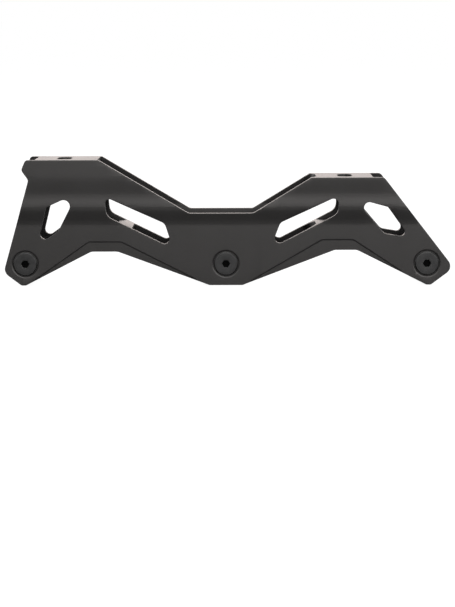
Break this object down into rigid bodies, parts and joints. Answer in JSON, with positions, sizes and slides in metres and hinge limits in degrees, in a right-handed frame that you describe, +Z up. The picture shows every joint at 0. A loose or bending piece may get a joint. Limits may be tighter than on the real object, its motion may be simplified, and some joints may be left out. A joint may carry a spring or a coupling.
{
  "type": "inline skate frame",
  "caption": "Milled aluminium inline skate frame with slotted heel and toe decks, windowed side walls and screw-in axles that draw out sideways to free the wheels.",
  "frame": {"origin": "on the middle plane, under the middle of the frame's length, level with the feet of the walls", "axes": "+X to the toe, +Y from the axle heads to the threads, +Z up to the decks"},
  "size_m": [0.2608, 0.0382, 0.0735],
  "materials": {
    "black_aluminium": "satin black anodised, fine grain",
    "axle_steel": "turned, blackened, oiled sheen"
  },
  "bodies": {
    "frame": {"frame": "black_aluminium"},
    "rear_axle": {"rear_axle": "axle_steel"},
    "middle_axle": {"middle_axle": "axle_steel"},
    "front_axle": {"front_axle": "axle_steel"}
  },
  "joints": [
    {"name": "rear_axle_slide", "type": "slide", "parent": "frame", "child": "rear_axle", "axis": [0, -1, 0], "range_m": [0, 0.03]},
    {"name": "middle_axle_slide", "type": "slide", "parent": "frame", "child": "middle_axle", "axis": [0, -1, 0], "range_m": [0, 0.03]},
    {"name": "front_axle_slide", "type": "slide", "parent": "frame", "child": "front_axle", "axis": [0, -1, 0], "range_m": [0, 0.03]}
  ]
}
